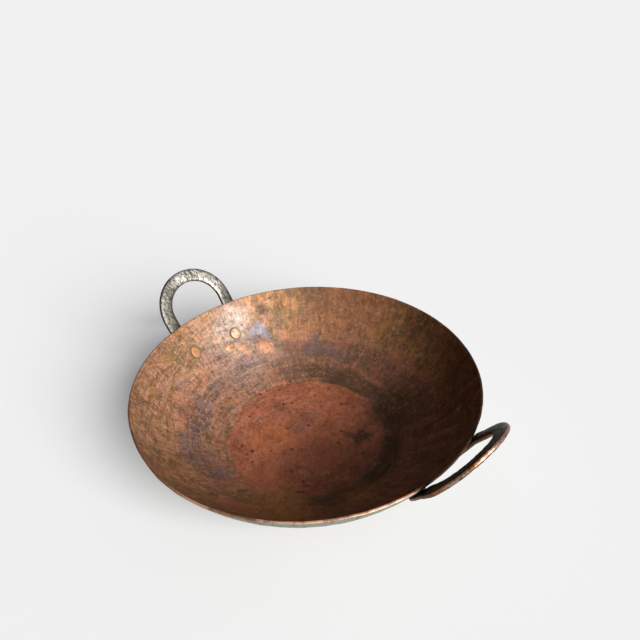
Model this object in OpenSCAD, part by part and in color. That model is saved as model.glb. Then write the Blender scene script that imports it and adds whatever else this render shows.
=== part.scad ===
// Two-handled copper pan: one raised sheet of copper, two forged loop handles, four rivets.
// Millimetres, +Z up. The origin is the middle of the underside, and the handles lie along X.

/* [Pan] */
// Diameter over the lip
rim_d = 380; // [320:5:440]
// Height of the lip over the table
pan_h = 91; // [75:1:110]
// Diameter of the flat floor, at the crease where the wall starts
floor_d = 188; // [150:2:220]
// Slope of the wall at the lip, from level
rim_slope = 65; // [58:1:74]
// Thickness of the copper sheet
sheet_t = 2.2; // [1.6:0.1:2.6]
// Thickness of the lip, upset a little by hammering on its edge
lip_t = 2.5; // [2.4:0.1:3.6]
// Outer radius of the bend between floor and wall
crease_r = 14; // [8:1:24]

/* [Handles] */
// Distance between the two legs of a handle at their widest, on their centre lines
grip_w = 85; // [72:1:100]
// How far each leg of the left handle draws in from the grip to its rivet
left_in = 10.5; // [6:0.5:16]
// How far each leg of the right handle draws in
right_in = 16.5; // [10:0.5:19]
// Height of the grip's centre line over the lip, along the lean
grip_h = 55.5; // [48:0.5:66]
// Lean of the grip, from level
grip_lean = 56.5; // [52:0.5:62]
// Width of the forged bar at the grip
bar_w = 16.5; // [13:0.5:19]
// Thickness of the forged bar at the grip
bar_t = 6; // [5:0.5:8]
// Width of the flattened foot
foot_w = 19; // [18:0.5:25]
// Thickness of the flattened foot
foot_t = 4; // [3.5:0.5:5]
// Length of the foot past its rivet
foot_end = 12.5; // [11:0.5:17]
// Gap between a leg and the lip that it passes
leg_gap = 2; // [1.5:0.5:4]

/* [Rivets] */
// Distance of the rivets below the lip, along the wall
rivet_drop = 39; // [31:1:46]
// How far round the wall the left handle's rivets are off the middle of its feet
left_off = 2.5; // [0:0.5:3]
// How much higher its front rivet is than that, and its back one lower
left_skew = 2.5; // [0:0.5:3]
// Diameter of a rivet's shank
shank_d = 8; // [6:0.5:9]
// Diameter of the dome outside
dome_d = 13; // [12:0.5:15]
// Height of the dome outside
dome_h = 3; // [2.5:0.5:5]
// Diameter of the flattened head inside
button_d = 15.5; // [13:0.5:17]
// Height of the flattened head inside
button_h = 3; // [2:0.5:4]

/* [Hidden] */
$fn = 96;

COPPER = "#9a5638";
DARK_COPPER = "#6f6558";
RIVET_COPPER = "#c08058";

// Running values
seat_gap = 0.1;
hole_gap = 0.05;
overrun = 1;
half_turn = 180;
radian = half_turn / PI;

// The wall's middle surface is one arc, from the floor's edge to the middle of the lip
floor_r = floor_d / 2;
lip_r = rim_d / 2 - lip_t / 2;
lip_z = pan_h - lip_t / 2;
half_t = sheet_t / 2;
chord_slope = atan2(lip_z - half_t, lip_r - floor_r);
chord = norm([lip_r - floor_r, lip_z - half_t]);
half_sweep = rim_slope - chord_slope;
wall_r = chord / (2 * sin(half_sweep));
arc_c = [lip_r - wall_r * sin(rim_slope), lip_z + wall_r * cos(rim_slope)];

// The crease is a smaller arc, tangent to the underside and to the wall's outer face
wall_out = wall_r + half_t;
crease_x = arc_c[0] + sqrt(pow(wall_out - crease_r, 2) - pow(arc_c[1] - crease_r, 2));
crease_c = [crease_x, crease_r];
crease_slope = atan2(crease_c[0] - arc_c[0], arc_c[1] - crease_c[1]);

// Rivets, square to the wall. Each is [round the wall from the handle's middle, up from the lip].
// The left handle is the right one turned half round, so its front rivet comes from the right's back one.
function rivet_across(leg_in) = grip_w / 2 - leg_in;
right_front = [-rivet_across(right_in), -rivet_drop];
right_back = [rivet_across(right_in), -rivet_drop];
left_front = [rivet_across(left_in) + left_off, left_skew - rivet_drop];
left_back = [left_off - rivet_across(left_in), -rivet_drop - left_skew];
button_sag = button_d * button_d / (8 * (wall_r - half_t));

// The handle's centre line, laid out flat: a half circle over two long arcs that draw in to the rivets.
// Across is measured from the handle's middle, and up from the lip along the wall or the lean.
grip_r = grip_w / 2;
bow_up = grip_h - grip_r;
leg_down = bow_up + rivet_drop;
bow_len = grip_r * half_turn / radian;
function leg_r(leg_in) = (leg_in * leg_in + leg_down * leg_down) / (2 * leg_in);
function leg_turn(leg_in) = 2 * atan2(leg_in, leg_down);
function leg_len(leg_in) = leg_r(leg_in) * leg_turn(leg_in) / radian;
rim_bow = rim_d / 2 - sqrt(pow(rim_d / 2, 2) - grip_r * grip_r);
grip_x = rim_d / 2 - rim_bow + leg_gap;

// The foot lies on the wall below the lip, and the grip is flat above it
flat_from_share = 0.3;
flat_to_share = 0.2;
flat_from = -rivet_drop * flat_from_share;
flat_to = grip_r * flat_to_share;
foot_taper_share = 1.25;
foot_thick_from_share = 0.25;
tip_share = 0.3;

// Fineness of the loft
bow_steps = 36;
leg_steps = 11;
foot_steps = 7;
bar_sides = 20;
bar_square = 3.4;

function lerp(a, b, k) = a + (b - a) * k;
function ease(k) = let (c = min(1, max(0, k))) c * c * (3 - 2 * c);
function unit(a) = a / norm(a);
function signed_pow(a, e) = sign(a) * pow(abs(a), e);

// A point of the wall's section at a slope, on a radius from the arc's middle
function wall_at(slope, r) = [arc_c[0] + r * sin(slope), arc_c[1] - r * cos(slope)];

// Where the handle's inner face lies on the wall, and the wall's outward normal there
function foot_slope(up) = rim_slope + up / wall_out * radian;
function foot_turn(across, up) = across / wall_at(foot_slope(up), wall_out)[0] * radian;
function on_wall(across, up) =
    let (p = wall_at(foot_slope(up), wall_out + seat_gap), turn = foot_turn(across, up))
    [p[0] * cos(turn), p[0] * sin(turn), p[1]];
function wall_normal(across, up) =
    let (slope = foot_slope(up), turn = foot_turn(across, up))
    [sin(slope) * cos(turn), sin(slope) * sin(turn), -cos(slope)];

// Where the handle's inner face lies on the flat of the grip
function on_lean(across, up) = [grip_x + up * cos(grip_lean), across, lip_z + up * sin(grip_lean)];
lean_normal = [sin(grip_lean), 0, -cos(grip_lean)];

function flatness(up) = ease((up - flat_from) / (flat_to - flat_from));
function face_point(q) = lerp(on_wall(q[0], q[1]), on_lean(q[0], q[1]), flatness(q[1]));
function face_normal(q) = unit(lerp(wall_normal(q[0], q[1]), lean_normal, flatness(q[1])));

// The flat centre line by its length from the middle of the grip, to one side
function half_line(len, leg_in) =
    let (r = leg_r(leg_in), turn = leg_turn(leg_in), down = len - bow_len / 2, past = down - leg_len(leg_in))
    down < 0
        ? let (a = len / grip_r * radian) [grip_r * sin(a), bow_up + grip_r * cos(a)]
        : past < 0
            ? let (a = down / r * radian) [grip_r - r + r * cos(a), bow_up - r * sin(a)]
            : [rivet_across(leg_in) - past * sin(turn), -rivet_drop - past * cos(turn)];
function line_point(len, leg_in) = let (q = half_line(abs(len), leg_in)) [len < 0 ? -q[0] : q[0], q[1]];

// Width and thickness by the distance from the rivet, towards the grip
function bar_width(from_rivet, leg_in) =
    from_rivet < 0
        ? foot_w * sqrt(1 - pow((1 - tip_share) * from_rivet / foot_end, 2))
          * lerp(1, tip_share, pow(-from_rivet / foot_end, 3))
        : lerp(foot_w, bar_w, ease(from_rivet / (leg_len(leg_in) * foot_taper_share)));
function bar_thick(from_rivet, leg_in) =
    let (k = (from_rivet / leg_len(leg_in) - foot_thick_from_share) / (1 - foot_thick_from_share))
    lerp(foot_t, bar_t, ease(k));

// Distances of the loft's rings from the middle of the grip, one side
function to_rivet(leg_in) = bow_len / 2 + leg_len(leg_in);
function side_lens(leg_in) = concat(
    [for (i = [1 : bow_steps / 2]) bow_len / 2 * i / (bow_steps / 2)],
    [for (i = [1 : leg_steps]) bow_len / 2 + leg_len(leg_in) * i / leg_steps],
    [for (i = [1 : foot_steps]) to_rivet(leg_in) + foot_end * sin(90 * i / foot_steps)]
);
function ring_lens(leg_in) =
    let (side = side_lens(leg_in))
    concat([for (i = [len(side) - 1 : -1 : 0]) -side[i]], [0], side);

// One ring of the bar, a rounded oblong whose inner side lies on the face
function ring(len, leg_in) =
    let (
        q = line_point(len, leg_in),
        step = bow_len / bow_steps / 10,
        ahead = face_point(line_point(len + step, leg_in)),
        behind = face_point(line_point(len - step, leg_in)),
        along = unit(ahead - behind),
        raw = face_normal(q),
        out = unit(raw - (raw * along) * along),
        side = cross(along, out),
        from_rivet = to_rivet(leg_in) - abs(len),
        w = bar_width(from_rivet, leg_in),
        t = bar_thick(from_rivet, leg_in),
        mid = face_point(q) + out * t / 2
    )
    [for (i = [0 : bar_sides - 1])
        let (a = 360 * (i + 0.5) / bar_sides)
        mid + side * (w / 2 * signed_pow(cos(a), 2 / bar_square))
            + out * (t / 2 * signed_pow(sin(a), 2 / bar_square))];

module loft(rings) {
    n = len(rings[0]);
    last = len(rings) - 1;
    points = [for (r = rings) each r];
    sides = [for (j = [0 : last - 1]) for (i = [0 : n - 1])
        let (a = j * n + i, b = j * n + (i + 1) % n)
        each [[a, a + n, b], [b, a + n, b + n]]];
    start = [for (i = [0 : n - 1]) i];
    end = [for (i = [n - 1 : -1 : 0]) last * n + i];
    polyhedron(points = points, faces = concat([start], sides, [end]));
}

// Puts a child on the wall's middle surface, its +Z along the outward normal
module at_rivet(spot) {
    slope = foot_slope(spot[1]);
    seat = wall_at(slope, wall_r);
    rotate([0, 0, foot_turn(spot[0], spot[1])])
        translate([seat[0], 0, seat[1]])
            rotate([0, half_turn - slope, 0])
                children();
}

module rivet_hole() {
    reach = sheet_t + foot_t + bar_t;
    translate([0, 0, -reach])
        cylinder(d = shank_d + 2 * hole_gap, h = 2 * reach);
}

// Half section of the bowl filled to over the lip, drawn in by some distance on the outside:
// the crease's disc, the part of the wall's disc beyond the crease, and a core that joins them
module bowl_fill(less) {
    out = [rim_d * sin(crease_slope), -rim_d * cos(crease_slope)];
    core_x = arc_c[0] + (wall_out - crease_r) * sin(rim_slope);
    translate(crease_c)
        circle(r = crease_r - less);
    intersection() {
        translate(arc_c)
            circle(r = wall_out - less);
        translate(crease_c)
            polygon([[0, 0], out, [rim_d, out[1]], [rim_d, pan_h], [0, pan_h]]);
    }
    polygon([
        [0, less],
        [crease_c[0], less],
        crease_c,
        [core_x, lip_z],
        [core_x, pan_h],
        [0, pan_h]
    ]);
}

module pan_section() {
    difference() {
        bowl_fill(0);
        bowl_fill(sheet_t);
        translate([0, lip_z])
            square([rim_d, pan_h]);
    }
    translate([lip_r, lip_z])
        circle(d = lip_t);
}

module pan_body() {
    color(COPPER)
        difference() {
            rotate_extrude()
                pan_section();
            for (spot = [right_front, right_back])
                at_rivet(spot)
                    rivet_hole();
            rotate([0, 0, half_turn])
                for (spot = [left_front, left_back])
                    at_rivet(spot)
                        rivet_hole();
        }
}

// Handle at +X, with its legs' draw-in and its rivets' spots
module handle(leg_in, spots) {
    color(DARK_COPPER)
        difference() {
            loft([for (l = ring_lens(leg_in)) ring(l, leg_in)]);
            for (spot = spots)
                at_rivet(spot)
                    rivet_hole();
        }
}

module dome() {
    ball_r = (dome_d * dome_d / 4 + dome_h * dome_h) / (2 * dome_h);
    intersection() {
        translate([0, 0, dome_h - ball_r])
            sphere(r = ball_r);
        cylinder(d = dome_d + 2 * overrun, h = dome_h + overrun);
    }
}

// Flattened from inside the pan: a short button with a drawn-in top
module button() {
    shoulder_share = 0.6;
    top_share = 0.8;
    cylinder(d = button_d, h = button_h * shoulder_share);
    translate([0, 0, button_h * shoulder_share])
        cylinder(d1 = button_d, d2 = button_d * top_share, h = button_h * (1 - shoulder_share));
}

// Rivet of the handle at +X, at its spot
module rivet(spot) {
    dome_z = half_t + seat_gap + foot_t;
    button_z = half_t + button_sag + seat_gap;
    color(RIVET_COPPER)
        at_rivet(spot) {
            translate([0, 0, -button_z - overrun])
                cylinder(d = shank_d, h = button_z + dome_z + 2 * overrun);
            translate([0, 0, dome_z])
                dome();
            translate([0, 0, -button_z])
                mirror([0, 0, 1])
                    button();
        }
}

pan_body();
handle(right_in, [right_front, right_back]);  // right_handle
rivet(right_front);  // right_rivet_front
rivet(right_back);  // right_rivet_back
rotate([0, 0, half_turn]) handle(left_in, [left_front, left_back]);  // left_handle
rotate([0, 0, half_turn]) rivet(left_front);  // left_rivet_front
rotate([0, 0, half_turn]) rivet(left_back);  // left_rivet_back
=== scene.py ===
import math

import bpy
from bpy.props import FloatProperty, FloatVectorProperty, PointerProperty
from mathutils import Matrix, Vector


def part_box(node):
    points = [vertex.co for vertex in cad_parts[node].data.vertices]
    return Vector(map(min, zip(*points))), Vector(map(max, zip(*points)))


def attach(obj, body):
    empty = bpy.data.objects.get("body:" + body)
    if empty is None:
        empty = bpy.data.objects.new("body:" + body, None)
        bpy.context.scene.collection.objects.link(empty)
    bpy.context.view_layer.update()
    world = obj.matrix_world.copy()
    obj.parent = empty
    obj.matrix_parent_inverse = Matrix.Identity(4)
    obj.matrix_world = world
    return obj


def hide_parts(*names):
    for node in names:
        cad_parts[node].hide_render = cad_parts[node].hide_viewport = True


bl_info = {
    "name": "Hammered copper pan",
    "version": (1, 0, 0),
    "blender": (4, 5, 0),
    "location": "View3D > Sidebar > Copper pan",
    "description": "Builds a hammered copper pan with forged loop handles, and a small studio round it",
    "category": "Object",
}

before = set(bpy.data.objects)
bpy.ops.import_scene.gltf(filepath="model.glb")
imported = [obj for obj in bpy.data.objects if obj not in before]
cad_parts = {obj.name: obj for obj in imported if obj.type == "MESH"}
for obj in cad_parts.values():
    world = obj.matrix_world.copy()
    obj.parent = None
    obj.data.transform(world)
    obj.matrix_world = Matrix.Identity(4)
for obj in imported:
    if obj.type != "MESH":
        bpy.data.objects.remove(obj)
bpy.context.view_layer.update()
BODY = "root"
MM = 0.001

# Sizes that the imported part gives
PAN_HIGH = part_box("pan_body")[1]
RIM_RADIUS = PAN_HIGH.x
PAN_HEIGHT = PAN_HIGH.z

# Further from the middle than any place on the pan
FAR = 2 * RIM_RADIUS

HANDLES = ("right_handle", "left_handle")

# Each rivet by its node: turn of its handle from +X, distance round the wall from the handle's middle,
# distance below the lip along the wall, and the shares of its inside head's width and height that the
# hammer left
RIVETS = {
    "right_rivet_front": (0, -26 * MM, 39 * MM, 1.0, 0.6),
    "right_rivet_back": (0, 26 * MM, 39 * MM, 1.0, 0.6),
    "left_rivet_front": (math.pi, 34.5 * MM, 36.5 * MM, 0.74, 0.45),
    "left_rivet_back": (math.pi, -29.5 * MM, 41.5 * MM, 0.92, 0.9),
}

# How the lip strays from a circle: bearing from +X, spread, both in degrees, and distance outwards
LIP_STRAY = (
    (110, 60, 2.8 * MM),
    (-153, 30, 1.3 * MM),
    (-105, 18, -0.9 * MM),
    (-78, 18, 0.5 * MM),
    (0, 62, -1.1 * MM),
)

# Single blows on the wall: place, radius, and depth outwards
BLOWS = (
    ((-148, 61, 47), 18, 2.2 * MM),
    ((-133, 57, 33), 13, -1.6 * MM),
    ((-157, 12, 45), 9, -1.3 * MM),
    ((-150, 27, 40), 7, -1.0 * MM),
    ((-142, 31, 34), 8, -1.2 * MM),
    ((-161, 75, 72), 9, 0.8 * MM),
    ((-105, -47, 12), 9, 0.8 * MM),
)

# Marks on the inner face: colour, place, radius, soft edge, stray of the outline, and strength
MARKS = (
    # The pale grey marks by the rivet are a real film and a painted highlight of the light on the wall
    ("film_and_highlight", (-170, 32, 66), 24, 24, 12, 0.6),
    ("brown", (-80, 168, 90), 64, 60, 10, 0.8),
    ("ochre", (70, -115, 25), 34, 44, 14, 0.6),
    ("soot", (58, 95, 14), 30, 44, 14, 0.7),
    ("soot", (31, 178, 76), 26, 36, 14, 0.5),
    ("film_and_highlight", (-150, 20, 50), 50, 60, 16, 0.3),
    ("grime", (-152, 53, 50), 15, 6, 6, 0.6),
    ("olive", (-143, 71, 47), 5, 4, 3, 0.8),
    ("olive", (-133, 72, 38), 5, 4, 3, 0.8),
    ("olive", (-123, 71, 30), 5, 4, 3, 0.7),
    # The lavender marks in the dent are a film and a painted reflection
    ("lavender", (-151, 60, 51), 10, 4, 6, 0.9),
    ("lavender", (-152, 48, 47), 5, 4, 5, 0.7),
    ("lavender", (-141, 64, 43), 7, 4, 5, 0.8),
    ("orange", (-134, 55, 33), 11, 4, 7, 0.8),
    ("salmon", (-136, 52, 34), 5, 4, 5, 0.5),
    ("grime", (-71, -155, 61), 4, 4, 5, 0.7),
    ("oxide", (-66, -125, 30), 6, 6, 6, 0.7),
    ("grime", (-42, -155, 49), 5, 5, 6, 0.6),
    ("oxide", (-22, -114, 13), 12, 12, 10, 0.7),
    ("oxide", (-140, -76, 47), 8, 8, 8, 0.5),
    ("olive", (-165, -61, 69), 16, 14, 10, 0.5),
    ("ochre", (95, -115, 38), 26, 40, 14, 0.5),
    ("grime", (-128, 138, 88), 24, 34, 12, 0.6),
    ("gold", (57, -102, 15), 30, 34, 12, 0.5),
    ("floor_plum", (44, -22, 2), 40, 26, 14, 0.5),
    ("grime", (-161, 75, 72), 7, 3, 3, 0.75),
    ("orange", (-157, 12, 45), 6, 3, 3, 0.8),
    ("orange", (-151, 27, 41), 5, 3, 3, 0.8),
    ("orange", (-143, 30, 34), 5, 3, 3, 0.8),
    ("oxide", (-151, -7, 39), 8, 10, 7, 0.7),
    ("oxide", (-134, 21, 26), 11, 12, 8, 0.75),
    ("oxide", (-109, -68, 21), 11, 16, 8, 0.8),
    ("oxide", (-89, -96, 22), 9, 14, 8, 0.7),
    ("soot", (-105, -47, 12), 3, 5, 4, 0.6),
    ("oxide", (-16, 1, 2), 16, 18, 8, 0.25),
    ("floor_orange", (-30, -36, 2), 22, 26, 10, 0.65),
    ("soot", (52, 34, 2), 11, 10, 13, 0.7),
    ("soot", (34, 27, 2), 4, 5, 5, 0.5),
    ("soot", (82, -34, 2), 6, 9, 7, 0.3),
    ("soot", (96, 0, 3), 8, 10, 8, 0.4),
    ("gold", (108, -38, 10), 16, 34, 10, 0.5),
    ("soot", (80, 49, 3), 8, 10, 8, 0.7),
    ("verdigris", (-16, 22, 2), 2, 2, 3, 0.8),
    ("verdigris", (-12, 26, 2), 2, 2, 3, 0.8),
    ("verdigris", (-94, -39, 6), 2, 2, 3, 0.7),
    ("verdigris", (-38, -91, 4), 2.4, 2, 3, 0.8),
    ("verdigris", (-22, -100, 6), 2.4, 2, 3, 0.8),
)

# How finely the sheet and the rivets are divided
SEGMENTS = 420
WALL_RINGS = 50
CREASE_RINGS = 3
FLOOR_RINGS = 24
RIVET_SEGMENTS = 48

# Round a rivet the sheet stays true out to the first distance, and is fully hammered that much further out
SEAT_TRUE = 14 * MM
SEAT_FADE = 22 * MM

# Points closer than this are one point
WELD = 0.01 * MM

# How far a rivet's inside head stands off the sheet
HEAD_GAP = 0.2 * MM

# Each light: name, way to it, width in degrees, and power
LIGHTS = (
    ("window", (0.885, -0.093, 0.457), 38, 5.8),
    ("sky", (0.3, 0.35, 0.89), 130, 0.6),
)


def linear(hex_colour):
    """An sRGB hex colour as Blender's linear red, green, blue and alpha."""
    channels = []
    for start in (1, 3, 5):
        value = int(hex_colour[start:start + 2], 16) / 255
        channels.append(value / 12.92 if value <= 0.04045 else ((value + 0.055) / 1.055) ** 2.4)
    return (*channels, 1.0)


def colour(name, description, hex_colour):
    """A colour that a user can change."""
    return FloatVectorProperty(
        name=name, description=description, default=linear(hex_colour),
        size=4, min=0, max=1, subtype="COLOR",
    )


def length(name, description, default):
    """A size that a user can change, in metres."""
    return FloatProperty(
        name=name, description=description, default=default, min=0, unit="LENGTH", precision=5,
    )


class PanSizes(bpy.types.PropertyGroup):
    """Sizes and colours of the hammered sheet"""

    floor_radius: length("Floor radius", "Radius of the flat floor, at the middle of the sheet", 94 * MM)
    rim_slope: FloatProperty(
        name="Rim slope", description="Slope of the wall at the lip, from level",
        default=math.radians(65), subtype="ANGLE",
    )
    sheet: length("Sheet", "Thickness of the copper sheet", 2.2 * MM)
    lip: length("Lip", "Thickness of the lip, upset by hammering", 2.5 * MM)
    crease: length("Crease", "Outer radius of the bend between floor and wall", 14 * MM)
    dent_size: length("Dent size", "Width of a hammer dent", 15 * MM)
    dent_depth: length("Dent depth", "Depth of a hammer dent", 0.5 * MM)
    wave_size: length("Wave size", "Width of the slow waves left by raising the sheet", 45 * MM)
    wave_depth: length("Wave depth", "Depth of the slow waves", 0.9 * MM)
    wiped: colour("Wiped copper", "Copper rubbed clean by use", "#ca9468")
    brown: colour("Brown copper", "Thin brown oxide", "#88563a")
    salmon: colour("Salmon copper", "Pink copper under fresh scrubbing", "#d2a088")
    terracotta: colour("Terracotta", "Red oxide low on the wall", "#ba7558")
    ochre: colour("Ochre", "Yellow-brown oxide drawn out round the wall", "#9a6c38")
    orange: colour("Orange copper", "Bare orange copper on the bumps", "#cf9060")
    # Painted highlight as well as a film: the light's gleam on the wall round the rivets
    film_and_highlight: colour("Pale film and painted highlight", "Pale grey film round the rivets", "#b0aba4")
    # Painted reflection as well as a film: the dent's gleam
    lavender: colour("Lavender film and painted reflection", "Grey-lavender film in a dent", "#92919a")
    floor_red: colour("Red floor", "Red oxide burnt onto the floor", "#cc7654")
    floor_orange: colour("Orange floor", "Warmer oxide on the floor, towards the left", "#c26c3c")
    # Also painted shade over the floor's side towards +X
    floor_plum: colour("Dark floor", "Darker brown oxide on the floor", "#723a24")
    oxide: colour("Grey oxide", "Thick purple-grey oxide", "#66555a")
    # Also painted shade on the wall's side away from the light
    soot: colour("Burnt spots", "Near-black burnt spots and soot", "#261507")
    plum: colour("Plum oxide", "Purple-brown oxide low on the wall", "#60453a")
    gold: colour("Golden oxide", "Golden brown oxide in runs down the wall", "#b07838")
    grime: colour("Grime", "Dark brown grime in the hollows of the surface", "#4a3423")
    olive: colour("Olive film", "Greenish brown film of old fat", "#6a5c36")
    verdigris: colour("Verdigris", "Green copper salt", "#708272")


class HandleSizes(bpy.types.PropertyGroup):
    """Sizes and colours of the forged handles"""

    grain: length("Grain", "Side of the cubes that the handle's skin is rebuilt from", 0.75 * MM)
    blow_size: length("Blow size", "Width of a forging blow", 12 * MM)
    blow_depth: length("Blow depth", "Depth of a forging blow", 0.5 * MM)
    pit_size: length("Pit size", "Width of a pit", 3.2 * MM)
    pit_depth: length("Pit depth", "Depth of a pit", 0.45 * MM)
    lean: FloatProperty(
        name="Lean", description="Lean of the grip, from level", default=math.radians(56.5), subtype="ANGLE",
    )
    patina: colour("Patina", "Greenish grey skin of old forged copper", "#55534a")
    # Partly painted reflection: the pale grey on the lit handle's flats
    rubbed: colour("Rubbed patina", "Pale grey where hands have rubbed the skin", "#b4aca4")
    # Painted shade: the black on the faces of the handles that look away from the light
    black: colour("Black skin and painted shade", "Greenish black skin where no hand rubs", "#23271c")
    # Worn copper and a painted highlight where edges catch the light
    worn: colour("Worn edge and painted highlight", "Copper showing on the edges", "#d2b0a0")
    side: colour("Brown side", "Brown copper on the narrow sides", "#8c5a38")
    pit: colour("Pit", "Black in the pits", "#16130f")


class RivetSizes(bpy.types.PropertyGroup):
    """Sizes and colours of the rivets"""

    foot: length("Foot", "Thickness of the handle's foot that the rivet holds", 4 * MM)
    shank: length("Shank", "Diameter of the shank", 8 * MM)
    dome: length("Dome", "Diameter of the dome outside", 13 * MM)
    dome_height: length("Dome height", "Height of the dome outside", 3 * MM)
    button: length("Button", "Diameter of the flattened head inside", 15.5 * MM)
    button_height: length("Button height", "Height of the flattened head inside", 3 * MM)
    blow_size: length("Blow size", "Width of a peening blow", 5 * MM)
    blow_depth: length("Blow depth", "Depth of a peening blow", 0.5 * MM)
    bright: colour("Bright head", "Copper rubbed clean on the head", "#b09078")
    orange: colour("Orange head", "Orange copper on the head that is rubbed less", "#b4794e")
    dull: colour("Dull head", "Brown copper round the head's edge", "#6a4028")
    # Painted shade: darkens the heads on the side away from the light
    dark: colour("Dark head and painted shade", "Oxide that hides the heads on the darker side", "#3a2417")


class StudioSizes(bpy.types.PropertyGroup):
    """Place of the camera and the lights"""

    turn: FloatProperty(
        name="Turn", description="How far the camera stands round from -Y, towards +X",
        default=math.radians(44.52), subtype="ANGLE",
    )
    elevation: FloatProperty(
        name="Elevation", description="How steeply the camera looks down",
        default=math.radians(33.98), subtype="ANGLE",
    )
    roll: FloatProperty(
        name="Roll", description="How far the camera leans to one side",
        default=math.radians(-2.57), subtype="ANGLE",
    )
    distance: length("Distance", "From the camera to the point on the floor that it looks at", 849.9 * MM)
    ahead: length("Ahead", "How far that point lies behind the middle of the pan", 237.5 * MM)
    aside: length("Aside", "How far that point lies to the right of the middle of the pan", 18.7 * MM)
    lens: FloatProperty(name="Lens", description="Focal length of the lens, in millimetres", default=30.72)
    paper: colour("Paper", "Pale floor", "#dcdcdc")
    glow: FloatProperty(name="Glow", description="Light that the pale floor gives off", default=0.15, min=0)
    backdrop: FloatProperty(name="Backdrop", description="Lightness behind the floor", default=0.86, min=0)


def add_node(tree, kind, links=None, **settings):
    """A node with its settings, and a value or another node's output on each socket that links names."""
    node = tree.nodes.new(kind)
    for name, value in settings.items():
        setattr(node, name, value)
    for key, value in (links or {}).items():
        socket = next(s for s in node.inputs if key in (s.identifier, s.name) and s.enabled)
        if isinstance(value, bpy.types.NodeSocket):
            tree.links.new(value, socket)
        else:
            socket.default_value = value
    return node


def start_material(name, metallic, roughness):
    """A material, its node tree and its shader."""
    material = bpy.data.materials.new(name)
    material.use_nodes = True
    tree = material.node_tree
    tree.nodes.clear()
    shader = add_node(tree, "ShaderNodeBsdfPrincipled", {"Metallic": metallic, "Roughness": roughness})
    add_node(tree, "ShaderNodeOutputMaterial", {"Surface": shader.outputs["BSDF"]})
    return material, tree, shader


def patches(tree, place, size, start, end, detail=6.0, rough=0.62, shift=0.0, warp=0.0):
    """A mask of irregular patches of about that size: 0 where the noise is under start, 1 where over end."""
    moved = add_node(tree, "ShaderNodeVectorMath", {
        "Vector": place, "Vector_001": (shift, shift / 2, -shift),
    }, operation="ADD")
    noise = add_node(tree, "ShaderNodeTexNoise", {
        "Vector": moved.outputs["Vector"], "Scale": 1 / size, "Detail": detail,
        "Roughness": rough, "Distortion": warp,
    })
    mask = add_node(tree, "ShaderNodeMapRange", {
        "Value": noise.outputs["Fac"], "From Min": start, "From Max": end,
    }, interpolation_type="SMOOTHSTEP")
    return mask.outputs["Result"]


def belt(tree, value, low, high, soft, within=1.0):
    """A mask that is 1 where a value lies between low and high, and fades out over soft on both sides,
    only within a second mask."""
    rise = add_node(tree, "ShaderNodeMapRange", {
        "Value": value, "From Min": low - soft, "From Max": low,
    }, interpolation_type="SMOOTHSTEP")
    fall = add_node(tree, "ShaderNodeMapRange", {
        "Value": value, "From Min": high + soft, "From Max": high,
    }, interpolation_type="SMOOTHSTEP")
    both = add_node(tree, "ShaderNodeMath", {
        "Value": rise.outputs["Result"], "Value_001": fall.outputs["Result"],
    }, operation="MULTIPLY")
    limited = add_node(tree, "ShaderNodeMath", {
        "Value": both.outputs["Value"], "Value_001": within,
    }, operation="MULTIPLY")
    return limited.outputs["Value"]


def stain(tree, place, centre, radius, soft, ragged=0.0):
    """A mask of one stain about a point: its radius, its soft edge, and how far its outline strays."""
    away = add_node(tree, "ShaderNodeVectorMath", {
        "Vector": place, "Vector_001": Vector(centre),
    }, operation="DISTANCE")
    noise = add_node(tree, "ShaderNodeTexNoise", {"Vector": place, "Scale": 1.5 / radius, "Detail": 4.0})
    stray = add_node(tree, "ShaderNodeMath", {
        "Value": noise.outputs["Fac"], "Value_001": 2 * ragged, "Value_002": away.outputs["Value"],
    }, operation="MULTIPLY_ADD")
    reach = radius + ragged
    mask = add_node(tree, "ShaderNodeMapRange", {
        "Value": stray.outputs["Value"], "From Min": reach + soft / 2, "From Max": reach - soft / 2,
    }, interpolation_type="SMOOTHSTEP")
    return mask.outputs["Result"]


def film(tree, under, over, mask, strength=1.0, within=1.0):
    """One colour laid over another through a mask, only within a second mask."""
    limited = add_node(tree, "ShaderNodeMath", {"Value": mask, "Value_001": within}, operation="MULTIPLY")
    thinned = add_node(tree, "ShaderNodeMath", {
        "Value": limited.outputs["Value"], "Value_001": strength,
    }, operation="MULTIPLY")
    mix = add_node(tree, "ShaderNodeMix", {
        "Factor_Float": thinned.outputs["Value"], "A_Color": under, "B_Color": over,
    }, data_type="RGBA")
    return mix.outputs[2]


def coat(tree, under, over, place, size, start, end, strength=1.0, within=1.0, **pattern):
    """One colour laid over another in patches, so strongly, and only within a mask."""
    return film(tree, under, over, patches(tree, place, size, start, end, **pattern), strength, within)


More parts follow.
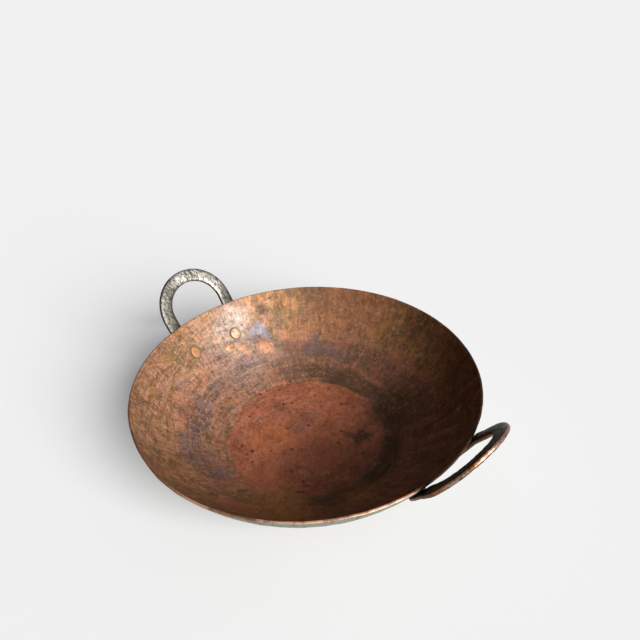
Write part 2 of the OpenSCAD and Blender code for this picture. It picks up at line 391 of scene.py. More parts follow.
def sheet_places(tree):
    """What the sheet's patterns go by: place, radius from the middle, height, a place drawn out up the
    wall, for what runs down it, and a place drawn out round the wall, for scouring marks."""
    place = add_node(tree, "ShaderNodeTexCoord").outputs["Object"]
    axes = add_node(tree, "ShaderNodeSeparateXYZ", {"Vector": place})
    flat = add_node(tree, "ShaderNodeVectorMath", {
        "Vector": place, "Vector_001": (1, 1, 0),
    }, operation="MULTIPLY").outputs["Vector"]
    radius = add_node(tree, "ShaderNodeVectorMath", {"Vector": flat}, operation="LENGTH").outputs["Value"]
    way = add_node(tree, "ShaderNodeVectorMath", {"Vector": flat}, operation="NORMALIZE").outputs["Vector"]
    ring = add_node(tree, "ShaderNodeVectorMath", {"Vector": way, "Scale": RIM_RADIUS}, operation="SCALE")
    runs = add_node(tree, "ShaderNodeVectorMath", {
        "Vector": place, "Vector_001": (0.2, 0.2, 0.2), "Vector_002": ring.outputs["Vector"],
    }, operation="MULTIPLY_ADD")
    out = add_node(tree, "ShaderNodeCombineXYZ", {"Z": radius})
    scours = add_node(tree, "ShaderNodeVectorMath", {
        "Vector": place, "Vector_001": (0.16, 0.16, 0), "Vector_002": out.outputs["Vector"],
    }, operation="MULTIPLY_ADD")
    return place, radius, axes.outputs["Z"], runs.outputs["Vector"], scours.outputs["Vector"]


def aged_copper_inside(pan, seats):
    """Raised copper, scoured by use and burnt by the fire: warm, mottled, with a dull gleam, with painted
    shade on the side away from the light and painted highlights by the rivets
    """
    material, tree, shader = start_material("Aged raised copper, inside", 0.5, 0.5)
    place, radius, height, runs, scours = sheet_places(tree)
    edge = pan.floor_radius
    axes = add_node(tree, "ShaderNodeSeparateXYZ", {"Vector": place})
    scrubbed = belt(tree, axes.outputs["X"], -FAR, -100 * MM, 130 * MM)

    # Thin oxides of the wall, in blotches the size of a hammer mark and larger, and in streaks
    bare = patches(tree, place, 24 * MM, 0.38, 0.6)
    skin = film(tree, pan.brown, pan.wiped, bare)
    skin = coat(tree, skin, pan.ochre, scours, 9 * MM, 0.4, 0.6, 0.65, shift=2.9)
    skin = coat(tree, skin, pan.brown, runs, 8 * MM, 0.45, 0.64, 0.65, shift=1.9)
    far_side = belt(tree, axes.outputs["Y"], 100 * MM, FAR, 80 * MM)
    rosy = add_node(tree, "ShaderNodeMath", {
        "Value": scrubbed, "Value_001": far_side,
    }, operation="SUBTRACT", use_clamp=True).outputs["Value"]
    skin = coat(tree, skin, pan.salmon, place, 11 * MM, 0.5, 0.64, 0.5, rosy, shift=0.4, warp=0.4)
    skin = coat(tree, skin, pan.gold, runs, 7 * MM, 0.42, 0.54, 0.6, far_side, rough=0.7, shift=30.2)
    skin = coat(tree, skin, pan.grime, runs, 11 * MM, 0.5, 0.6, 0.5, far_side, rough=0.7, shift=31.6)
    low_wall = belt(tree, height, 4 * MM, 32 * MM, 22 * MM)
    skin = coat(tree, skin, pan.terracotta, place, 34 * MM, 0.36, 0.56, 0.8, low_wall, shift=5.2)
    skin = coat(tree, skin, pan.olive, place, 15 * MM, 0.48, 0.6, 0.5, shift=1.3, warp=0.4)
    skin = coat(tree, skin, pan.grime, place, 9 * MM, 0.52, 0.62, 0.6, rough=0.7, shift=17.1, warp=0.8)

    # A ragged ring of oxide low on the wall, and thick grey oxide on the scrubbed side
    left = belt(tree, axes.outputs["X"], -RIM_RADIUS, -40 * MM, 60 * MM)
    ring_side = belt(tree, radius, 128 * MM, 138 * MM, 10 * MM, left)
    skin = coat(tree, skin, pan.plum, place, 14 * MM, 0.34, 0.5, 0.6, ring_side, rough=0.7, shift=33.8)
    grey_side = belt(tree, height, 12 * MM, 32 * MM, 14 * MM, scrubbed)
    skin = coat(tree, skin, pan.oxide, place, 24 * MM, 0.46, 0.6, 0.65, grey_side, shift=3.7, warp=0.4)
    plum_side = belt(tree, height, 8 * MM, 26 * MM, 18 * MM, far_side)
    skin = coat(tree, skin, pan.plum, scours, 16 * MM, 0.34, 0.5, 0.5, plum_side, shift=32.4, warp=0.4)

    # The side towards +X, away from the light, is painted dark with soot as painted shade, with brown and
    # terracotta runs over it
    sooted_shaded_side = belt(tree, axes.outputs["X"], 140 * MM, FAR, 150 * MM)
    skin = coat(tree, skin, pan.soot, runs, 12 * MM, 0.2, 0.5, 0.64, sooted_shaded_side, shift=16.3)
    skin = coat(tree, skin, pan.brown, runs, 17 * MM, 0.5, 0.6, 0.6, sooted_shaded_side, shift=23.4)
    skin = coat(tree, skin, pan.terracotta, runs, 20 * MM, 0.56, 0.64, 0.4, sooted_shaded_side, shift=27.5)

    # The floor and the ring round it stray from a circle, and lie a little to one side
    along = add_node(tree, "ShaderNodeVectorMath", {
        "Vector": place, "Vector_001": (0.707, 0.707, 0),
    }, operation="DOT_PRODUCT").outputs["Value"]
    wander = add_node(tree, "ShaderNodeTexNoise", {"Vector": place, "Scale": 1 / (24 * MM), "Detail": 6.0})
    strayed = add_node(tree, "ShaderNodeMath", {
        "Value": wander.outputs["Fac"], "Value_001": 22 * MM, "Value_002": radius,
    }, operation="MULTIPLY_ADD")
    strayed = add_node(tree, "ShaderNodeMath", {
        "Value": along, "Value_001": 0.07, "Value_002": strayed.outputs["Value"],
    }, operation="MULTIPLY_ADD").outputs["Value"]

    # Burnt fat in a dark ring over the crease, worn off on one side
    kept = add_node(tree, "ShaderNodeMapRange", {
        "Value": along, "From Min": -75 * MM, "From Max": 20 * MM, "To Min": 0.1,
    }, interpolation_type="SMOOTHSTEP").outputs["Result"]
    crease = belt(tree, strayed, edge + 15 * MM, edge + 28 * MM, 10 * MM, kept)
    skin = coat(tree, skin, pan.grime, place, 22 * MM, 0.36, 0.54, 0.6, crease, shift=24.8)
    skin = coat(tree, skin, pan.grime, scours, 9 * MM, 0.4, 0.56, 0.6, crease, shift=5.9)
    # On the side away from the light the ring takes soot as well: painted shade
    burnt = add_node(tree, "ShaderNodeMath", {"Value": crease, "Value_001": sooted_shaded_side}, operation="MULTIPLY")
    skin = coat(tree, skin, pan.soot, scours, 10 * MM, 0.3, 0.5, 0.55, burnt.outputs["Value"], shift=20.3)

    # The floor, red with a warmer left and a side towards +X painted darker as the wall's shade, and a thin
    # olive line round it
    floor = belt(tree, strayed, -edge, edge + 9 * MM, 4 * MM)
    red = coat(tree, pan.floor_red, pan.terracotta, place, 40 * MM, 0.42, 0.6, 0.5, shift=7.3)
    red = coat(tree, red, pan.floor_orange, place, 26 * MM, 0.5, 0.64, 0.6, shift=8.3)
    red = coat(tree, red, pan.floor_plum, place, 30 * MM, 0.48, 0.66, 0.5, shift=8.1, warp=0.5)
    shaded_floor_side = belt(tree, axes.outputs["X"], 80 * MM, FAR, 140 * MM)
    red = coat(tree, red, pan.floor_plum, place, 26 * MM, 0.1, 0.45, 0.9, shaded_floor_side, shift=18.2)
    skin = film(tree, skin, red, floor, 0.95)
    line = belt(tree, strayed, edge + 8 * MM, edge + 11 * MM, 3 * MM, scrubbed)
    skin = coat(tree, skin, pan.olive, place, 12 * MM, 0.4, 0.56, 0.9, line, shift=4.4)

    # Fine cracks in the floor's oxide
    cells = add_node(tree, "ShaderNodeTexVoronoi", {
        "Vector": place, "Scale": 1 / (7 * MM),
    }, feature="DISTANCE_TO_EDGE")
    crack = add_node(tree, "ShaderNodeMapRange", {
        "Value": cells.outputs["Distance"], "From Min": 0.09, "From Max": 0.02,
    })
    cracked = add_node(tree, "ShaderNodeMath", {
        "Value": crack.outputs["Result"], "Value_001": patches(tree, place, 30 * MM, 0.5, 0.6, shift=12.9),
    }, operation="MULTIPLY")
    skin = film(tree, skin, pan.floor_plum, cracked.outputs["Value"], 0.6, floor)

    # Single marks, where the photographed pan has them, with holes in them
    whole = patches(tree, place, 7 * MM, 0.36, 0.46, rough=0.7, shift=22.9)
    for name, centre, mark_radius, soft, ragged, strength in MARKS:
        mark = stain(tree, place, Vector(centre) * MM, mark_radius * MM, soft * MM, ragged * MM)
        skin = film(tree, skin, getattr(pan, name), mark, strength, whole)

    # Hairlines that wander round the wall and over the floor, dark and pale
    wall = belt(tree, radius, edge + 6 * MM, FAR, 6 * MM)
    for shift, tone, strength in ((13.0, pan.soot, 0.4), (14.6, pan.salmon, 0.3)):
        flow = patches(tree, scours, 9 * MM, 0.3, 0.7, shift=shift, warp=0.6)
        skin = film(tree, skin, tone, belt(tree, flow, 0.49, 0.51, 0.025), strength, wall)
        flow = patches(tree, place, 26 * MM, 0.3, 0.7, shift=shift, warp=1.2)
        skin = film(tree, skin, tone, belt(tree, flow, 0.495, 0.505, 0.02), strength, floor)

    # Grain of a scoured surface, as coarse as it needs to show: dark in its hollows, pale on its tops,
    # and stronger in some parts than in others
    coarse = patches(tree, place, 34 * MM, 0.4, 0.6, shift=28.1)
    skin = coat(tree, skin, pan.grime, place, 6 * MM, 0.46, 0.62, 0.5, coarse, rough=0.75, shift=9.2)
    skin = coat(tree, skin, pan.grime, place, 5 * MM, 0.48, 0.64, 0.3, rough=0.75, shift=29.4)
    skin = coat(tree, skin, pan.grime, scours, 5 * MM, 0.48, 0.62, 0.45, rosy, rough=0.7, shift=19.4)
    skin = coat(tree, skin, pan.salmon, scours, 6 * MM, 0.54, 0.6, 0.25, rosy, shift=34.5, warp=1.2)
    skin = coat(tree, skin, pan.grime, runs, 4 * MM, 0.48, 0.62, 0.4, wall, rough=0.7, shift=26.2)
    skin = coat(tree, skin, pan.orange, place, 4 * MM, 0.54, 0.64, 0.4, coarse, rough=0.75, shift=25.3)
    skin = coat(tree, skin, pan.salmon, place, 3.4 * MM, 0.52, 0.66, 0.6, rosy, rough=0.75, shift=10.1)

    # The pale film, partly a painted highlight, is crazed
    filmed = stain(tree, place, Vector((-168, 28, 62)) * MM, 26 * MM, 26 * MM, 8 * MM)
    skin = coat(tree, skin, pan.grime, place, 5 * MM, 0.5, 0.6, 0.6, filmed, rough=0.7, shift=21.7)

    # Burnt pits of 2 to 3 mm on the floor
    pits = add_node(tree, "ShaderNodeTexVoronoi", {"Vector": place, "Scale": 1 / (11 * MM)})
    pitted = belt(tree, pits.outputs["Distance"], -1, 0.13, 0.12, floor)
    skin = coat(tree, skin, pan.soot, place, 26 * MM, 0.46, 0.56, 0.7, pitted, shift=11.7)

    # Old fat round the heads on the scrubbed side, and in part the heads' painted shade
    for seat in seats:
        ring = stain(tree, place, seat, 9.4 * MM, 3 * MM, 2 * MM)
        skin = film(tree, skin, pan.olive, ring, 0.85, scrubbed)

    tree.links.new(skin, shader.inputs["Base Color"])

    # Where the oxide is thick, less of the metal shows
    metal = add_node(tree, "ShaderNodeMapRange", {"Value": bare, "To Min": 0.2, "To Max": 0.45})
    tree.links.new(metal.outputs["Result"], shader.inputs["Metallic"])

    # Duller in blotches, and smoothest round the rivet that the pale film covers
    dull = patches(tree, place, 12 * MM, 0.3, 0.7, shift=6.1)
    roughness = add_node(tree, "ShaderNodeMapRange", {"Value": dull, "To Min": 0.56, "To Max": 0.72})
    gloss = add_node(tree, "ShaderNodeMath", {
        "Value": filmed, "Value_001": -0.1, "Value_002": roughness.outputs["Result"],
    }, operation="MULTIPLY_ADD")
    tree.links.new(gloss.outputs["Value"], shader.inputs["Roughness"])

    # Planishing marks of about 7 mm, and grain, too fine for the mesh
    marks = add_node(tree, "ShaderNodeTexVoronoi", {
        "Vector": place, "Scale": 1 / (8 * MM), "Smoothness": 0.4,
    }, feature="SMOOTH_F1")
    grain = add_node(tree, "ShaderNodeTexNoise", {"Vector": place, "Scale": 1 / (3 * MM), "Detail": 5.0})
    relief = add_node(tree, "ShaderNodeMath", {
        "Value": grain.outputs["Fac"], "Value_001": 0.35, "Value_002": marks.outputs["Distance"],
    }, operation="MULTIPLY_ADD")
    bump = add_node(tree, "ShaderNodeBump", {
        "Height": relief.outputs["Value"], "Distance": 0.35 * MM, "Strength": 0.8,
    })
    tree.links.new(bump.outputs["Normal"], shader.inputs["Normal"])
    return material


def verdigris_outside(pan):
    """Copper left to weather outside: sage-green salt over dark brown, dry and dull"""
    material, tree, shader = start_material("Raised copper with verdigris, outside", 0.1, 0.75)
    place, _, height, runs, _ = sheet_places(tree)
    skin = coat(tree, pan.soot, pan.brown, place, 30 * MM, 0.46, 0.66)
    upper = belt(tree, height, 44 * MM, PAN_HEIGHT, 34 * MM)
    skin = coat(tree, skin, pan.verdigris, runs, 18 * MM, 0.3, 0.5, 0.92, upper, shift=0.9)
    skin = coat(tree, skin, pan.verdigris, place, 14 * MM, 0.5, 0.62, 0.6, shift=2.2)
    skin = coat(tree, skin, pan.brown, place, 7 * MM, 0.48, 0.62, 0.6, rough=0.7, shift=3.1)
    skin = coat(tree, skin, pan.grime, runs, 6 * MM, 0.52, 0.64, 0.6, rough=0.7, shift=4.6)
    tree.links.new(skin, shader.inputs["Base Color"])
    return material


def worn_lip(pan):
    """The sheet's cut edge, rubbed bright by spoons and hands"""
    material, tree, shader = start_material("Copper edge, rubbed bright", 0.6, 0.45)
    place = add_node(tree, "ShaderNodeTexCoord").outputs["Object"]
    skin = coat(tree, pan.salmon, pan.brown, place, 26 * MM, 0.44, 0.6, 0.7)
    skin = coat(tree, skin, pan.grime, place, 9 * MM, 0.48, 0.6, 0.5, shift=0.6)
    axes = add_node(tree, "ShaderNodeSeparateXYZ", {"Vector": place})
    less_rubbed = belt(tree, axes.outputs["X"], -FAR, -20 * MM, 60 * MM)
    skin = film(tree, skin, pan.brown, less_rubbed, 0.7)
    near_handle = belt(tree, axes.outputs["X"], 110 * MM, FAR, 60 * MM)
    past_foot = belt(tree, axes.outputs["Y"], -38 * MM, FAR, 16 * MM)
    skin = film(tree, skin, pan.soot, near_handle, 0.93, past_foot)
    tree.links.new(skin, shader.inputs["Base Color"])
    return material


def forged_copper(handle):
    """Forged copper with a dark skin, rubbed grey on the flats and brown on the narrow sides, painted as lit
    on one handle and as shaded on the other, with painted highlights on the edges
    """
    material, tree, shader = start_material("Forged copper, darkened", 0.9, 0.42)
    coords = add_node(tree, "ShaderNodeTexCoord")
    place = coords.outputs["Object"]
    edge = add_node(tree, "ShaderNodeNewGeometry").outputs["Pointiness"]

    # How squarely the surface faces across the flat of the bar, for both handles
    axes = add_node(tree, "ShaderNodeSeparateXYZ", {"Vector": place})
    side = add_node(tree, "ShaderNodeMath", {"Value": axes.outputs["X"]}, operation="SIGN")
    turned = add_node(tree, "ShaderNodeCombineXYZ", {"X": side.outputs["Value"], "Y": 1.0, "Z": 1.0})
    normal = add_node(tree, "ShaderNodeVectorMath", {
        "Vector": coords.outputs["Normal"], "Vector_001": turned.outputs["Vector"],
    }, operation="MULTIPLY")
    flat = add_node(tree, "ShaderNodeVectorMath", {
        "Vector": normal.outputs["Vector"], "Vector_001": (math.sin(handle.lean), 0, -math.cos(handle.lean)),
    }, operation="DOT_PRODUCT")
    facing = add_node(tree, "ShaderNodeMath", {"Value": flat.outputs["Value"]}, operation="ABSOLUTE")
    narrow = belt(tree, facing.outputs["Value"], -1, 0.5, 0.16)

    # Which narrow side faces away from the middle of the loop, and how high up the loop a place is
    from_middle = add_node(tree, "ShaderNodeVectorMath", {
        "Vector": place, "Vector_001": turned.outputs["Vector"], "Vector_002": (-RIM_RADIUS, 0, -PAN_HEIGHT),
    }, operation="MULTIPLY_ADD")
    outward = add_node(tree, "ShaderNodeVectorMath", {
        "Vector": normal.outputs["Vector"], "Vector_001": from_middle.outputs["Vector"],
    }, operation="DOT_PRODUCT")
    outer = belt(tree, outward.outputs["Value"], 10 * MM, RIM_RADIUS, 10 * MM)
    high = belt(tree, axes.outputs["Z"], 122 * MM, FAR, 30 * MM)

    # One handle is rubbed grey on its flats and black on its sides, the other black and brown: one metal
    # painted as a lit and a shaded copy, the grey partly painted reflection, the black painted shade
    shaded_brown_handle = belt(tree, axes.outputs["X"], 0, FAR, 10 * MM)
    flats = coat(tree, handle.rubbed, handle.patina, place, 5 * MM, 0.48, 0.58, 0.9, rough=0.7)
    flats = film(tree, handle.patina, flats, high, 0.95)
    duller_leg = belt(tree, axes.outputs["Y"], -RIM_RADIUS, -26 * MM, 22 * MM)
    flats = film(tree, flats, handle.patina, duller_leg, 0.85)
    # Black over the flats of the handle at +X, which look away from the light: painted shade
    flats = coat(tree, flats, handle.black, place, 12 * MM, 0.1, 0.4, 0.93, shaded_brown_handle, shift=2.4)
    # Pale copper high on the outer narrow side: worn copper and a painted highlight
    highlight_top = belt(tree, high, 0.9, 1.0, 0.3)
    sides = coat(tree, handle.side, handle.worn, place, 12 * MM, 0.34, 0.5, 0.9, highlight_top, shift=0.7)
    sides = film(tree, handle.black, sides, outer, 1.0, belt(tree, high, 0.4, 1.0, 0.3))
    # Black on the narrow sides of the handle at -X, which look away from the light: painted shade
    sides = film(tree, handle.black, sides, 1.0, 1.0, shaded_brown_handle)
    skin = film(tree, flats, sides, narrow, 0.95)
    # Pale copper on the sharp edges high up: worn copper and a painted highlight
    skin = film(tree, skin, handle.worn, belt(tree, edge, 0.57, 2, 0.05), 0.6, high)
    skin = film(tree, skin, handle.side, narrow, 0.5, shaded_brown_handle)
    skin = coat(tree, skin, handle.pit, place, 3.2 * MM, 0.54, 0.64, 0.6, detail=3.0, shift=1.7)
    tree.links.new(skin, shader.inputs["Base Color"])
    grain = add_node(tree, "ShaderNodeTexNoise", {"Vector": place, "Scale": 1 / (2.5 * MM), "Detail": 4.0})
    bump = add_node(tree, "ShaderNodeBump", {
        "Height": grain.outputs["Fac"], "Distance": 0.3 * MM, "Strength": 0.7,
    })
    tree.links.new(bump.outputs["Normal"], shader.inputs["Normal"])
    return material


def peened_copper(pan, rivet):
    """Hammered rivet heads: one rubbed bright, one orange, and dark ones on the other side, away from the
    light, as painted shade
    """
    material, tree, shader = start_material("Peened copper", 0.4, 0.5)
    place = add_node(tree, "ShaderNodeTexCoord").outputs["Object"]
    edge = add_node(tree, "ShaderNodeNewGeometry").outputs["Pointiness"]
    skin = coat(tree, rivet.bright, rivet.dull, place, 5 * MM, 0.5, 0.68, 0.7)
    axes = add_node(tree, "ShaderNodeSeparateXYZ", {"Vector": place})
    shaded_heads = belt(tree, axes.outputs["X"], 0, RIM_RADIUS, 50 * MM)
    less_rubbed = stain(tree, place, rivet_seat(pan, "left_rivet_front")[0], 15 * MM, 4 * MM)
    skin = film(tree, skin, rivet.orange, less_rubbed, 0.8)
    skin = coat(tree, skin, pan.olive, place, 4 * MM, 0.5, 0.6, 0.5, shift=2.3)
    # Heads on the side away from the light are darkened: painted shade
    skin = film(tree, skin, rivet.dark, shaded_heads, 0.85)
    skin = film(tree, skin, rivet.dull, belt(tree, edge, -1, 0.44, 0.05), 0.9)
    tree.links.new(skin, shader.inputs["Base Color"])
    return material


def studio_paper(studio):
    """Matt white paper that glows a little, as a sweep lit from behind does"""
    material, tree, shader = start_material("Matt white paper", 0.0, 0.9)
    shader.inputs["Base Color"].default_value = studio.paper
    shader.inputs["Specular IOR Level"].default_value = 0
    shader.inputs["Emission Color"].default_value = (1, 1, 1, 1)
    shader.inputs["Emission Strength"].default_value = studio.glow
    return material


def wall_arc(pan):
    """Middle and radius of the arc that the middle of the sheet follows, in the half section."""
    lip_x = RIM_RADIUS - pan.lip / 2
    lip_z = PAN_HEIGHT - pan.lip / 2
    run = lip_x - pan.floor_radius
    rise = lip_z - pan.sheet / 2
    half_sweep = pan.rim_slope - math.atan2(rise, run)
    radius = math.hypot(run, rise) / (2 * math.sin(half_sweep))
    middle = Vector((
        lip_x - radius * math.sin(pan.rim_slope),
        lip_z + radius * math.cos(pan.rim_slope),
    ))
    return middle, radius


def bowl_rings(pan):
    """Radius and height of each ring of the sheet's inner face, from the lip to the middle of the floor."""
    middle, radius = wall_arc(pan)
    outer = radius + pan.sheet / 2
    inner = radius - pan.sheet / 2
    crease_x = middle.x + math.sqrt((outer - pan.crease) ** 2 - (middle.y - pan.crease) ** 2)
    crease_slope = math.atan2(crease_x - middle.x, middle.y - pan.crease)
    top_slope = pan.rim_slope + pan.lip / 2 / inner
    rings = []
    for step in range(WALL_RINGS + 1):
        slope = top_slope + (crease_slope - top_slope) * step / WALL_RINGS
        rings.append((middle.x + inner * math.sin(slope), middle.y - inner * math.cos(slope)))
    for step in range(1, CREASE_RINGS + 1):
        slope = crease_slope * (1 - step / CREASE_RINGS)
        bend = pan.crease - pan.sheet
        rings.append((crease_x + bend * math.sin(slope), pan.crease - bend * math.cos(slope)))
    for step in range(1, FLOOR_RINGS):
        rings.append((crease_x * (1 - step / FLOOR_RINGS), pan.sheet))
    return rings


def rivet_seat(pan, name):
    """Place of a rivet on the middle of the sheet, and the direction out through the wall."""
    handle_turn, across, below = RIVETS[name][:3]
    middle, radius = wall_arc(pan)
    outer = radius + pan.sheet / 2
    slope = pan.rim_slope - below / outer
    turn = handle_turn + across / (middle.x + outer * math.sin(slope))
    out = Vector((math.cos(turn), math.sin(turn), 0))
    place = out * (middle.x + radius * math.sin(slope)) + Vector((0, 0, middle.y - radius * math.cos(slope)))
    return place, out * math.sin(slope) - Vector((0, 0, math.cos(slope)))


def deselect():
    """Nothing selected, in object mode."""
    if bpy.context.object and bpy.context.object.mode != "OBJECT":
        bpy.ops.object.mode_set(mode="OBJECT")
    bpy.ops.object.select_all(action="DESELECT")


def stack_rings(rings, segments):
    """Rings round Z of those radii and heights, each joined to the next. Leaves the last one selected."""
    bpy.ops.mesh.primitive_circle_add(
        vertices=segments, radius=rings[0][0], location=(0, 0, rings[0][1]), enter_editmode=True,
    )
    for (radius, height), (next_radius, next_height) in zip(rings, rings[1:]):
        share = next_radius / radius
        bpy.ops.mesh.extrude_region_move(TRANSFORM_OT_translate={"value": (0, 0, next_height - height)})
        bpy.ops.transform.resize(value=(share, share, 1), center_override=(0, 0, next_height))


def modify(piece, name, kind, weight_of=None, **settings):
    """Adds a modifier with its settings and applies it, weighed by a function of place from 0 to 1."""
    modifier = piece.modifiers.new(name, kind)
    for key, value in settings.items():
        setattr(modifier, key, value)
    if weight_of:
        group = piece.vertex_groups.new(name=name)
        for vertex in piece.data.vertices:
            group.add([vertex.index], min(1.0, max(0.0, weight_of(vertex.co))), "REPLACE")
        modifier.vertex_group = name
    bpy.ops.object.modifier_apply(modifier=modifier.name)
    if weight_of:
        piece.vertex_groups.remove(piece.vertex_groups[name])


def push(piece, name, depth, weight_of=None, pattern=None, size=1.0, middle=0.5, **settings):
    """Pushes the surface out by a depth, weighed by a function of place, or in a pattern of that size."""
    if not pattern:
        modify(piece, name, "DISPLACE", weight_of, strength=depth, mid_level=0)
        return
    texture = bpy.data.textures.new(name, type=pattern)
    texture.noise_scale = size
    for key, value in settings.items():
        setattr(texture, key, value)
    modify(piece, name, "DISPLACE", weight_of,
           strength=depth, mid_level=middle, texture=texture, texture_coords="LOCAL")


def finish_piece(piece, node):
    """The piece stands for its CAD node, whose part it hides, and rides the body."""
    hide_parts(node)
    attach(piece, BODY)


class PAN_OT_raise_sheet(bpy.types.Operator):
    """Raise the bowl from one sheet: rings down the wall and over the floor, hammered, then thickened"""

    bl_idname = "copper_pan.raise_sheet"
    bl_label = "Raise the sheet"

    def execute(self, context):
        pan = context.scene.pan_sizes
        seats = [rivet_seat(pan, name)[0] for name in RIVETS]
        deselect()
        stack_rings(bowl_rings(pan), SEGMENTS)
        piece = context.object
        piece.name = piece.data.name = "hammered_pan"
        bpy.ops.mesh.extrude_region_move()
        bpy.ops.mesh.merge(type="CENTER")
        bpy.ops.mesh.select_all(action="SELECT")
        bpy.ops.mesh.remove_doubles(threshold=WELD)
        bpy.ops.mesh.normals_make_consistent(inside=False)
        bpy.ops.object.mode_set(mode="OBJECT")
        bpy.ops.object.transform_apply(location=True, rotation=True, scale=True)

        self.hammer(piece, pan, seats)
        piece.data.materials.append(verdigris_outside(pan))
        piece.data.materials.append(aged_copper_inside(pan, seats))
        piece.data.materials.append(worn_lip(pan))
        self.thicken(piece, pan)
        bpy.ops.object.shade_smooth()
        finish_piece(piece, "pan_body")
        return {"FINISHED"}

    def hammer(self, piece, pan, seats):
        """Slow waves, dents, a lip that strays from a circle, and single blows. Rivet seats stay true."""

        def free(place):
            near = min((place - seat).length for seat in seats)
            return min(1, max(0, (near - SEAT_TRUE) / SEAT_FADE))

        def wall(place):
            return min(1, max(0, (math.hypot(place.x, place.y) - pan.floor_radius + 6 * MM) / (30 * MM)))

        def high(place):
            return max(0, place.z / PAN_HEIGHT) ** 2

        push(piece, "waves", pan.wave_depth,
             lambda place: free(place) * (0.06 + 0.94 * wall(place)) * (1 - 0.6 * high(place)),
             "CLOUDS", pan.wave_size)
        push(piece, "dents", pan.dent_depth, lambda place: free(place) * (0.2 + 0.8 * wall(place)),
             "VORONOI", pan.dent_size, 0.3, distance_metric="DISTANCE_SQUARED")

        for bearing, spread, stray in LIP_STRAY:

            def swell(place):
                apart = abs((math.degrees(math.atan2(place.y, place.x)) - bearing + 180) % 360 - 180)
                return high(place) * (0.5 + 0.5 * math.cos(math.pi * min(1, apart / spread)))

            push(piece, "stray", stray, swell)

        for centre, radius, depth in BLOWS:

            def struck(place):
                apart = (place - Vector(centre) * MM).length / (radius * MM)
                return 0.5 + 0.5 * math.cos(math.pi * min(1, apart))

            push(piece, "blow", depth, struck)

    def thicken(self, piece, pan):
        """Gives the sheet its thickness outwards, more at the lip, and rounds the lip's edges."""
        modify(piece, "wall", "SOLIDIFY", lambda place: (place.z - PAN_HEIGHT + 6 * MM) / (5 * MM),
               thickness=pan.lip, offset=1, thickness_vertex_group=pan.sheet / pan.lip,
               material_offset=1, material_offset_rim=2)
        modify(piece, "soften", "BEVEL",
               width=0.6 * MM, segments=2, limit_method="ANGLE", angle_limit=math.radians(50))

        # The foot is worn flat where the pan stands
        for vertex in piece.data.vertices:
            vertex.co.z = max(0.0, vertex.co.z)


class PAN_OT_forge_handles(bpy.types.Operator):
    """Give each handle a forged skin: its form rebuilt in small faces, beaten and pitted"""

    bl_idname = "copper_pan.forge_handles"
    bl_label = "Forge the handles"

    def execute(self, context):
        handle = context.scene.handle_sizes
        material = forged_copper(handle)
        for name in HANDLES:
            deselect()
            bpy.ops.mesh.primitive_cube_add()
            piece = context.object
            piece.name = "forged_" + name
            piece.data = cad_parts[name].data.copy()
            piece.data.name = piece.name
            bpy.ops.object.mode_set(mode="EDIT")
            bpy.ops.mesh.select_all(action="SELECT")
            bpy.ops.mesh.remove_doubles(threshold=WELD)
            bpy.ops.object.mode_set(mode="OBJECT")
            modify(piece, "skin", "REMESH", mode="VOXEL", voxel_size=handle.grain)
            modify(piece, "soften", "SMOOTH", factor=0.5, iterations=2)
            push(piece, "blows", handle.blow_depth, None, "CLOUDS", handle.blow_size)
            push(piece, "pits", handle.pit_depth, None, "CLOUDS", handle.pit_size)
            piece.data.materials.clear()
            piece.data.materials.append(material)
            bpy.ops.object.shade_smooth()
            finish_piece(piece, name)
        return {"FINISHED"}


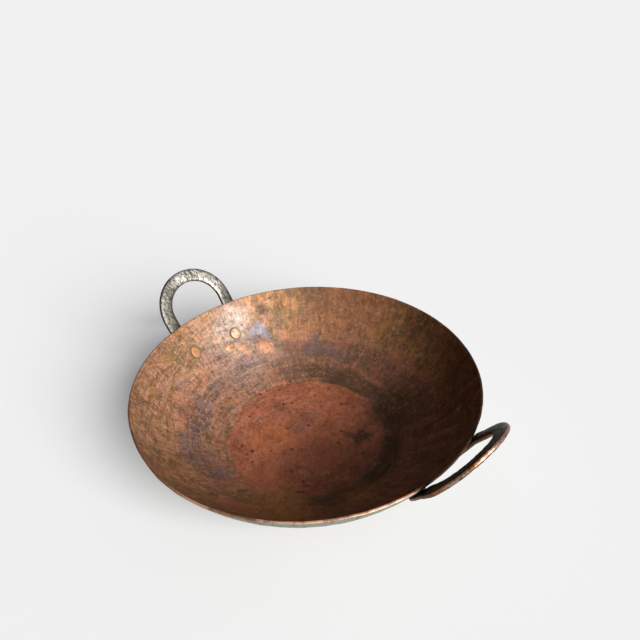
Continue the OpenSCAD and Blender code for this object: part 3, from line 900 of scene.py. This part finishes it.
class PAN_OT_peen_rivets(bpy.types.Operator):
    """Make one rivet along +Z, then copy it into each seat and peen it"""

    bl_idname = "copper_pan.peen_rivets"
    bl_label = "Peen the rivets"

    def execute(self, context):
        pan = context.scene.pan_sizes
        rivet = context.scene.rivet_sizes
        blank = self.blank(context, pan, rivet)
        blank.data.materials.append(peened_copper(pan, rivet))
        for name in RIVETS:
            deselect()
            seat, out = rivet_seat(pan, name)
            blank.select_set(True)
            context.view_layer.objects.active = blank
            bpy.ops.object.duplicate()
            piece = context.object
            piece.name = piece.data.name = "peened_" + name
            self.flatten(piece, pan, *RIVETS[name][3:])
            piece.matrix_world = Matrix.Translation(seat) @ out.to_track_quat("Z", "Y").to_matrix().to_4x4()
            bpy.ops.object.transform_apply(location=True, rotation=True, scale=True)
            push(piece, "peening", rivet.blow_depth, None, "CLOUDS", rivet.blow_size)
            bpy.ops.object.shade_smooth()
            finish_piece(piece, name)
        bpy.data.objects.remove(blank)
        return {"FINISHED"}

    def flatten(self, piece, pan, width, height):
        """Hammers the inside head to a share of its width round the wall, and of its height."""
        seat = -pan.sheet / 2 - HEAD_GAP
        for vertex in piece.data.vertices:
            vertex.select = vertex.co.z < seat
        for edge in piece.data.edges:
            edge.select = all(piece.data.vertices[end].select for end in edge.vertices)
        for face in piece.data.polygons:
            face.select = all(piece.data.vertices[corner].select for corner in face.vertices)
        bpy.ops.object.mode_set(mode="EDIT")
        bpy.ops.transform.resize(value=(width, 1, height), center_override=(0, 0, seat))
        bpy.ops.object.mode_set(mode="OBJECT")

    def blank(self, context, pan, rivet):
        """A rivet before it is set: flattened head under the sheet, shank, and dome over the foot."""
        deselect()
        inside = -pan.sheet / 2 - HEAD_GAP
        outside = pan.sheet / 2 + rivet.foot
        button, dome, shank = rivet.button / 2, rivet.dome / 2, rivet.shank / 2
        profile = (
            (0.2 * button, inside - rivet.button_height),
            (0.5 * button, inside - rivet.button_height),
            (0.8 * button, inside - rivet.button_height * 0.97),
            (0.92 * button, inside - rivet.button_height * 0.84),
            (0.99 * button, inside - rivet.button_height * 0.55),
            (1.0 * button, inside - rivet.button_height * 0.2),
            (0.97 * button, inside),
            (shank, inside + 0.05 * MM),
            (shank, outside - 0.05 * MM),
            (0.97 * dome, outside),
            (dome, outside + rivet.dome_height * 0.15),
            (0.93 * dome, outside + rivet.dome_height * 0.42),
            (0.78 * dome, outside + rivet.dome_height * 0.7),
            (0.52 * dome, outside + rivet.dome_height * 0.9),
            (0.2 * dome, outside + rivet.dome_height),
        )
        stack_rings(profile, RIVET_SEGMENTS)
        bpy.ops.mesh.select_all(action="SELECT")
        bpy.ops.mesh.fill_holes(sides=0)
        bpy.ops.mesh.select_all(action="SELECT")
        bpy.ops.mesh.normals_make_consistent(inside=False)
        bpy.ops.mesh.subdivide(number_cuts=1)
        bpy.ops.object.mode_set(mode="OBJECT")
        bpy.ops.object.transform_apply(location=True, rotation=True, scale=True)
        return context.object


class PAN_OT_set_studio(bpy.types.Operator):
    """Lay the pale floor, hang the lights and stand the camera where the photograph was taken"""

    bl_idname = "copper_pan.set_studio"
    bl_label = "Set the studio"

    def execute(self, context):
        studio = context.scene.studio_sizes
        deselect()
        bpy.ops.mesh.primitive_plane_add(size=60)
        floor = context.object
        floor.name = "studio_floor"
        floor.data.materials.append(studio_paper(studio))

        aim = Matrix.Rotation(studio.turn, 4, "Z") @ Vector((studio.aside, studio.ahead, 0))
        aim += Vector((0, 0, context.scene.pan_sizes.sheet))
        tilt = Matrix.Rotation(math.pi / 2 - studio.elevation, 4, "X")
        turn = Matrix.Rotation(studio.turn, 4, "Z") @ tilt
        bpy.ops.object.camera_add()
        camera = context.object
        camera.name = "photo_camera"
        camera.matrix_world = (
            Matrix.Translation(aim) @ turn
            @ Matrix.Translation((0, 0, studio.distance)) @ Matrix.Rotation(studio.roll, 4, "Z")
        )
        camera.data.lens = studio.lens
        context.scene.camera = camera

        # Far soft lights, each as wide in the sky as its spread
        for name, way, spread, power in LIGHTS:
            bpy.ops.object.light_add(type="SUN", location=Vector(way) * 2)
            light = context.object
            light.name = name
            light.data.angle = math.radians(spread)
            light.data.energy = power
            light.rotation_euler = Vector(way).to_track_quat("Z", "Y").to_euler()

        # The backdrop is only seen: it lights nothing
        world = bpy.data.worlds.new("Pale backdrop")
        world.use_nodes = True
        backdrop = world.node_tree.nodes["Background"]
        backdrop.inputs["Color"].default_value = (1, 1, 1, 1)
        backdrop.inputs["Strength"].default_value = studio.backdrop
        world.cycles_visibility.diffuse = False
        world.cycles_visibility.glossy = False
        context.scene.world = world
        context.scene.view_settings.view_transform = "Standard"
        return {"FINISHED"}


class PAN_PT_panel(bpy.types.Panel):
    """The steps of the pan, in order"""

    bl_label = "Copper pan"
    bl_space_type = "VIEW_3D"
    bl_region_type = "UI"
    bl_category = "Copper pan"

    def draw(self, context):
        for step in STEPS:
            self.layout.operator(step.bl_idname)


STEPS = (PAN_OT_set_studio, PAN_OT_raise_sheet, PAN_OT_forge_handles, PAN_OT_peen_rivets)
SIZES = {
    "pan_sizes": PanSizes,
    "handle_sizes": HandleSizes,
    "rivet_sizes": RivetSizes,
    "studio_sizes": StudioSizes,
}


def register():
    for name, group in SIZES.items():
        bpy.utils.register_class(group)
        setattr(bpy.types.Scene, name, PointerProperty(type=group))
    for step in STEPS:
        bpy.utils.register_class(step)
    bpy.utils.register_class(PAN_PT_panel)


def unregister():
    bpy.utils.unregister_class(PAN_PT_panel)
    for step in reversed(STEPS):
        bpy.utils.unregister_class(step)
    for name, group in reversed(SIZES.items()):
        delattr(bpy.types.Scene, name)
        bpy.utils.unregister_class(group)


def main():
    """Makes everything."""
    register()
    bpy.ops.copper_pan.set_studio()
    bpy.ops.copper_pan.raise_sheet()
    bpy.ops.copper_pan.forge_handles()
    bpy.ops.copper_pan.peen_rivets()


if __name__ == "__main__":
    main()
